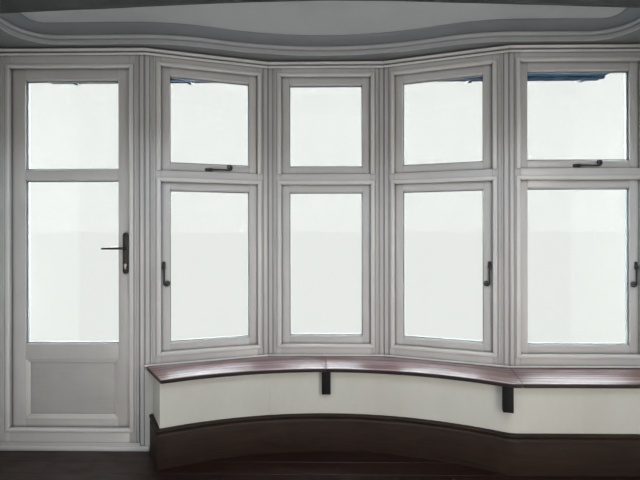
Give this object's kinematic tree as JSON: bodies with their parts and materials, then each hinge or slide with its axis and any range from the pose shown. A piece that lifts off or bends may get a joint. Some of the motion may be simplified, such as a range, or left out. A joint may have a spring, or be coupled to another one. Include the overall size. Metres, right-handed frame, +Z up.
{
  "type": "bay window with a glazed garden door",
  "caption": "Bay window of five timber lights seen from the room: a half-glazed door that opens outwards, canted casements, a bowed board on a low wall, and a small pent roof.",
  "frame": {"origin": "on the underside of the floor slab, at the middle of the centre window and in the plane of the room side of the door's frame", "axes": "+X along the bay to the right as seen from the room, +Y outdoors, +Z up"},
  "size_m": [3.77, 1.462, 3.0686],
  "materials": {
    "floor_slab": "matte",
    "floor_boards": "worn polish",
    "dwarf_wall_left": "matte",
    "dwarf_wall_centre": "matte",
    "dwarf_wall_right": "matte",
    "dwarf_wall_end": "matte",
    "side_wall_left": "matte",
    "side_wall_right": "matte",
    "oak_beam": "dark stain",
    "wall_over_beam": "matte",
    "bay_ceiling": "matte",
    "cornice": "satin paint",
    "cornice_board": "satin paint",
    "wall_plate": "satin paint",
    "roof_deck": "sawn",
    "roof_cheeks": "matte",
    "soffit": "blue-grey paint",
    "fascia": "blue-grey paint",
    "gutter": "matte",
    "gutter_brackets": "matte",
    "window_board": "polished",
    "board_brackets": "dark stain",
    "skirting": "dark stain",
    "corner_posts": "satin paint",
    "end_jambs": "satin paint",
    "frame_heads": "satin paint",
    "window_sills": "satin paint",
    "outer_sills": "satin paint",
    "transoms": "satin paint",
    "door_threshold": "satin paint",
    "frame_beads": "satin paint",
    "head_mouldings": "satin paint",
    "sash_stiles": "satin paint",
    "sash_rails": "satin paint",
    "window_glass": "clear",
    "window_fasteners": "black satin",
    "frame_hinges": "dull",
    "door_stiles": "satin paint",
    "door_rails": "satin paint",
    "door_glass": "clear",
    "door_panel": "satin paint",
    "door_beads": "satin paint",
    "door_plates": "black satin",
    "door_hinges": "dull",
    "lever_handle": "black satin"
  },
  "bodies": {
    "bay": {"floor_slab": "floor_slab", "floor_boards": "floor_boards", "dwarf_wall_left": "dwarf_wall_left", "dwarf_wall_centre": "dwarf_wall_centre", "dwarf_wall_right": "dwarf_wall_right", "dwarf_wall_end": "dwarf_wall_end", "side_wall_left": "side_wall_left", "side_wall_right": "side_wall_right", "oak_beam": "oak_beam", "wall_over_beam": "wall_over_beam", "bay_ceiling": "bay_ceiling", "cornice": "cornice", "cornice_board": "cornice_board", "wall_plate": "wall_plate", "roof_deck": "roof_deck", "roof_cheeks": "roof_cheeks", "soffit": "soffit", "fascia": "fascia", "gutter": "gutter", "gutter_brackets": "gutter_brackets", "window_board": "window_board", "board_brackets": "board_brackets", "skirting": "skirting", "corner_posts": "corner_posts", "end_jambs": "end_jambs", "frame_heads": "frame_heads", "window_sills": "window_sills", "outer_sills": "outer_sills", "transoms": "transoms", "door_threshold": "door_threshold", "frame_beads": "frame_beads", "head_mouldings": "head_mouldings", "sash_stiles": "sash_stiles", "sash_rails": "sash_rails", "window_glass": "window_glass", "window_fasteners": "window_fasteners", "frame_hinges": "frame_hinges"},
    "door": {"door_stiles": "door_stiles", "door_rails": "door_rails", "door_glass": "door_glass", "door_panel": "door_panel", "door_beads": "door_beads", "door_plates": "door_plates", "door_hinges": "door_hinges"},
    "lever": {"lever_handle": "lever_handle"}
  },
  "joints": [
    {"name": "door_hinge", "type": "hinge", "parent": "bay", "child": "door", "pos_m": [-1.7375, 0.078, 0.228], "axis": [0, 0, 1], "range_deg": [0, 90]},
    {"name": "lever_turn", "type": "hinge", "parent": "door", "child": "lever", "pos_m": [-1.097, 0.045, 1.216], "axis": [0, -1, 0], "range_deg": [0, 40], "stiffness_Nm_per_rad": 1, "springref_deg": -28.65}
  ]
}
